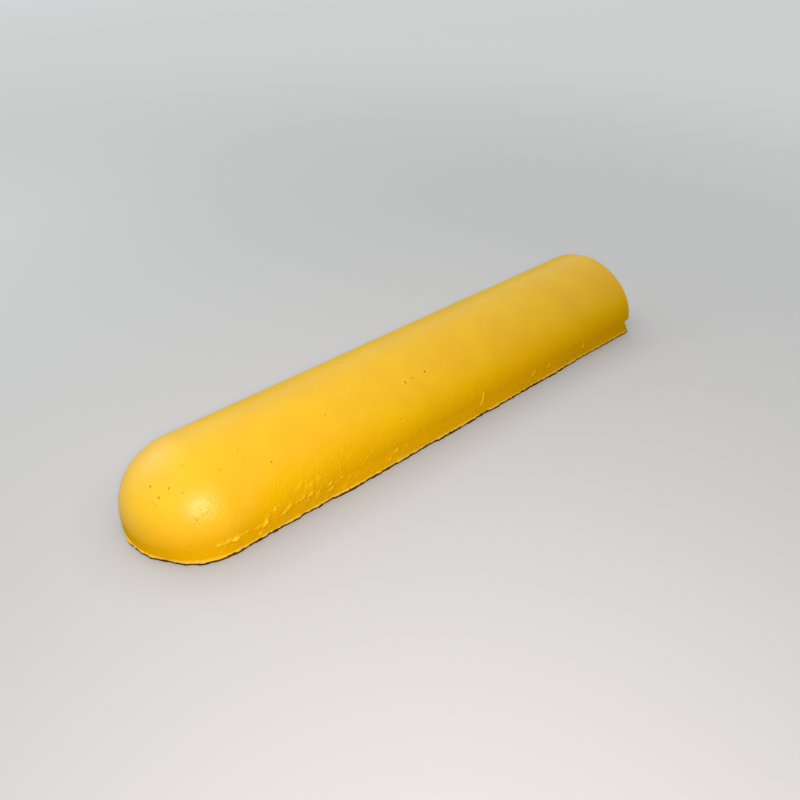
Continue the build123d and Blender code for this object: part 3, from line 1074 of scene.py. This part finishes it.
def yellow_paint():
    """Thick traffic paint with a soft sheen: an even yellow in faint slow patches, deeper low down, with a
    painted highlight that makes the lip and what stands proud paler, painted shade at the foot, dirt and
    painted shade in the bug holes, and a skin like orange peel. It has lost its sheen low down, and part of
    it on the far side."""
    made, place = start_finish("yellow_paint")
    axes = [place.node("ShaderNodeSeparateXYZ", {}, {0: place}, output=axis) for axis in "XYZ"]
    along, across, height = axes
    hole = place.node("ShaderNodeAttribute", {"attribute_name": "hole_depth"}, {}, output="Fac")
    proud_highlight = place.node("ShaderNodeAttribute", {"attribute_name": "proud_highlight"}, {}, output="Fac")
    patches = place.mottle(PAINT_PATCH, PAINT_PATCH_DETAIL)
    peel = place.mottle(PEEL_SIZE, PEEL_DETAIL)
    colour = patches.eased(PAINT_PATCH_DEEP, PAINT_PATCH_EVEN).blend(PAINT_DEEP_COLOUR, PAINT_COLOUR)
    colour = height.eased(EVEN_HEIGHT, DEEP_HEIGHT).blend(colour, PAINT_LOW_COLOUR)
    nose = along.eased(NOSE_SHEEN_FROM, NOSE_SHEEN_FULL)
    gritty = place.mottle(GRIT_PATCH, GRIT_PATCH_DETAIL).eased(GRIT_PATCH_FROM, GRIT_PATCH_FULL)
    gritty = gritty * height.eased(GRIT_TOP, GRIT_LOW) * (1 - nose)
    gritty = gritty * (GRIT_LEAST + (1 - GRIT_LEAST) * along.eased(GRIT_END, GRIT_START))
    turned = {"Vector": place, "Rotation": (0, GRIT_SLANT, 0), "Scale": (GRIT_STRETCH, 1, 1)}
    slanting = place.node("ShaderNodeMapping", {"vector_type": "TEXTURE"}, turned)
    grit = slanting.mottle(GRIT_SIZE, GRIT_DETAIL).eased(GRIT_FROM, GRIT_FULL) * gritty
    # A painted highlight: what stands proud, and the grit, are made paler
    colour = (PROUD_HIGHLIGHT_SHARE * proud_highlight + GRIT_HIGHLIGHT_SHARE * grit).blend(colour, PROUD_HIGHLIGHT_COLOUR)
    edge_noise = place.mottle(EDGE_NOISE_PATCH, EDGE_NOISE_DETAIL)
    wandering = height + EDGE_WANDER * (edge_noise - NOISE_MIDDLE)
    # A painted highlight: a paler tone along the lip, in patches
    pale = PALE_SHARE * edge_noise.eased(PALE_FROM, PALE_FULL) * wandering.eased(PALE_TOP, PALE_LOW)
    colour = pale.blend(colour, LIP_HIGHLIGHT_COLOUR)
    # Painted shade at the foot under the lip, lighter towards the tail
    shade_lightening = FOOT_SHADE_DROP * along.eased(FOOT_SHADE_TAIL_FROM, FOOT_SHADE_TAIL_FULL)
    foot_shade = wandering.eased(FOOT_SHADE_TOP, FOOT_SHADE_LOW) * (1 - shade_lightening)
    colour = foot_shade.blend(colour, FOOT_SHADE_COLOUR)
    # The bug holes darken with depth: dirt, and painted shade
    colour = hole.eased(HOLE_SHADE_FROM, HOLE_SHADE_FULL).blend(colour, HOLE_COLOUR)
    peeling = PEEL_LEAST + (1 - PEEL_LEAST) * height.eased(PEEL_TOP, PEEL_LOW)
    skin = PEEL_DEPTH * peel * peeling + GRIT_DEPTH * grit
    roughness = PAINT_ROUGHNESS + PATCH_ROUGHNESS * (patches - NOISE_MIDDLE)
    sockets = {
        "Base Color": colour,
        "Roughness": roughness + PEEL_ROUGHNESS * (peel - NOISE_MIDDLE),
        "Normal": skin.raised(1.0),
    }
    dull = place.node("ShaderNodeBsdfPrincipled", {}, {**sockets, "Specular IOR Level": 0.0})
    sheen = place.node("ShaderNodeBsdfPrincipled", {}, sockets)
    far = FAR_DULL_SHARE * across.eased(FAR_SHEEN_END, FAR_DULL_START) * (1 - nose)
    share = (height + NOSE_SHEEN_DROP * nose).eased(DULL_HEIGHT, SHEEN_HEIGHT) * (1 - far)
    surface = place.node("ShaderNodeMixShader", {}, {0: share, 1: dull, 2: sheen})
    place.node("ShaderNodeOutputMaterial", {}, {"Surface": surface})
    return made


block = placed("painted_block", block_mesh())
block.data.materials.append(yellow_paint())
block.data.materials.append(cement_mortar("bare_concrete", BASE_COLOUR, BASE_DARK_COLOUR, BASE_PATCH))
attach(block, "root")
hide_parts("concrete_block")

# The floor: a plain pale sheet that the block stands on, which isn't part of the object. What is seen of it
# is lightened to an even pale grey, and its light on the block stays that of a darker, warmer floor.
FLOOR_HALF_SIDE = 30.0
FLOOR_COLOUR = (0.33, 0.33, 0.33, 1.0)
FLOOR_BOUNCE_COLOUR = (0.31, 0.275, 0.22, 1.0)
FLOOR_GLOW_COLOUR = (0.29, 0.29, 0.29, 1.0)
FLOOR_FAR_GLOW_COLOUR = (0.44, 0.44, 0.44, 1.0)
NO_GLOW_COLOUR = (0.0, 0.0, 0.0, 1.0)
FLOOR_ROUGHNESS = 0.9
# Distances from the origin at which the glow is least and most
FLOOR_NEAR = 1.2
FLOOR_FAR = 5.0
# Where the floor starts to fade into the backdrop, and where it is gone
FLOOR_FADE = 3.5
FLOOR_END = 16.0
# How far the block shades the glow round its foot
SHADE_REACH = 0.16


def rays_that_show(start):
    """1 for rays that show a surface to the camera, straight, in a reflection or through glass, else 0."""
    rays = ("Is Camera Ray", "Is Glossy Ray", "Is Transmission Ray")
    return sum(start.node("ShaderNodeLightPath", {}, {}, output=ray) for ray in rays)


def pale_floor():
    """A dull grey surface that keeps shadows, with a pale glow that only rays to the camera meet. The glow
    grows with the distance from the block, where less light falls, and further out the floor fades away."""
    made, place = start_finish("pale_floor")
    seen = rays_that_show(place)
    openness = place.node("ShaderNodeAmbientOcclusion", {}, {"Distance": SHADE_REACH}, output="AO")
    away = place.node("ShaderNodeVectorMath", {"operation": "LENGTH"}, {0: place}, output="Value")
    glow = away.eased(FLOOR_NEAR, FLOOR_FAR).blend(FLOOR_GLOW_COLOUR, FLOOR_FAR_GLOW_COLOUR)
    glow = (seen * openness).blend(NO_GLOW_COLOUR, glow)
    sockets = {
        "Base Color": seen.blend(FLOOR_BOUNCE_COLOUR, FLOOR_COLOUR),
        "Roughness": FLOOR_ROUGHNESS,
        "Specular IOR Level": 0.0,
        "Emission Color": glow,
        "Emission Strength": 1.0,
    }
    sheet = place.node("ShaderNodeBsdfPrincipled", {}, sockets)
    nothing = place.node("ShaderNodeBsdfTransparent", {}, {})
    faded = seen * away.eased(FLOOR_FADE, FLOOR_END)
    surface = place.node("ShaderNodeMixShader", {}, {0: faded, 1: sheet, 2: nothing})
    place.node("ShaderNodeOutputMaterial", {}, {"Surface": surface})
    return made


corners = [(x * FLOOR_HALF_SIDE, y * FLOOR_HALF_SIDE, 0) for x, y in ((-1, -1), (1, -1), (1, 1), (-1, 1))]
floor_mesh = bpy.data.meshes.new("floor")
floor_mesh.from_pydata(corners, [], [(0, 1, 2, 3)])
floor_mesh.materials.append(pale_floor())
floor = placed("floor", floor_mesh)

# The camera: where the photograph was taken from, looking down along the block from beyond its nose. Its
# place, aim and lens come from a fit of the block's outline.
CAMERA_PLACE = Vector((-1.45799, -1.61349, 1.53031))
CAMERA_FORWARD = Vector((0.55188, 0.60912, -0.56956))
CAMERA_LENS = 38.25
SENSOR_WIDTH = 36.0


def aimed(name, data, place, forward):
    """A new object at that place that looks or shines forward."""
    made = placed(name, data)
    made.location = place
    made.rotation_euler = forward.to_track_quat("-Z", "Y").to_euler()
    return made


camera_data = bpy.data.cameras.new("camera")
camera_data.lens = CAMERA_LENS
camera_data.sensor_width = SENSOR_WIDTH
bpy.context.scene.camera = aimed("camera", camera_data, CAMERA_PLACE, CAMERA_FORWARD)

# The light: a soft sky that is bright overhead and behind the block to the left, a broad soft box on that
# side, and a small warm lamp by the camera, turned to the tail. A pale backdrop takes the sky's place for
# rays to the camera.
SKY_AXIS = Vector((-0.37, 0.53, 0.77))
# Cosines of the angle from that axis at which the sky is dim, middling, starts to brighten and is bright
SKY_DIM = -0.45
SKY_MIDDLE = 0.5
SKY_BRIGHTER = 0.6
SKY_BRIGHT = 1.0
BACKDROP_DIM = -0.4
BACKDROP_BRIGHT = 0.8
SKY_DIM_COLOUR = (0.02, 0.02, 0.022, 1.0)
SKY_MIDDLE_COLOUR = (0.43, 0.46, 0.46, 1.0)
SKY_BRIGHT_COLOUR = (0.885, 0.94, 0.94, 1.0)
BACKDROP_DIM_COLOUR = (0.60, 0.60, 0.61, 1.0)
BACKDROP_BRIGHT_COLOUR = (0.95, 0.96, 0.98, 1.0)

world = bpy.data.worlds.new("studio")
world.use_nodes = True
world.node_tree.nodes.clear()
bpy.context.scene.world = world
sky = Strand(world.node_tree).node("ShaderNodeTexCoord", {}, {}, output="Generated")
axis = SKY_AXIS.normalized()
facing = sky.node("ShaderNodeVectorMath", {"operation": "DOT_PRODUCT"}, {0: sky, 1: axis}, output="Value")
glow = facing.eased(SKY_DIM, SKY_MIDDLE).blend(SKY_DIM_COLOUR, SKY_MIDDLE_COLOUR)
glow = facing.eased(SKY_BRIGHTER, SKY_BRIGHT).blend(glow, SKY_BRIGHT_COLOUR)
backdrop = facing.eased(BACKDROP_DIM, BACKDROP_BRIGHT).blend(BACKDROP_DIM_COLOUR, BACKDROP_BRIGHT_COLOUR)
light = sky.node("ShaderNodeBackground", {}, {"Color": rays_that_show(sky).blend(glow, backdrop)})
sky.node("ShaderNodeOutputWorld", {}, {"Surface": light})

LAMP_POWER = 48.0
LAMP_WIDTH = 0.35
LAMP_COLOUR = (1.0, 0.85, 0.82)
LAMP_AIM = Vector((0.7, -0.1, 0.1))
BOX_POWER = 22.0
BOX_WIDTH = 1.8
BOX_COLOUR = (0.94, 1.0, 1.0)
BOX_AZIMUTH = math.radians(115)
BOX_HEIGHT = math.radians(35)
BOX_DISTANCE = 3.2


def area_lamp(name, shape, width, power, colour, place, forward):
    """A flat lamp of that shape and width that shines forward from its place."""
    data = bpy.data.lights.new(name, "AREA")
    data.shape = shape
    data.size = width
    data.energy = power
    data.color = colour
    aimed(name, data, place, forward)


box_way = Vector((
    math.cos(BOX_AZIMUTH) * math.cos(BOX_HEIGHT),
    math.sin(BOX_AZIMUTH) * math.cos(BOX_HEIGHT),
    math.sin(BOX_HEIGHT),
))
area_lamp("camera_lamp", "DISK", LAMP_WIDTH, LAMP_POWER, LAMP_COLOUR, CAMERA_PLACE, LAMP_AIM - CAMERA_PLACE)
area_lamp("soft_box", "SQUARE", BOX_WIDTH, BOX_POWER, BOX_COLOUR, box_way * BOX_DISTANCE, -box_way)

bpy.context.scene.view_settings.view_transform = "Standard"
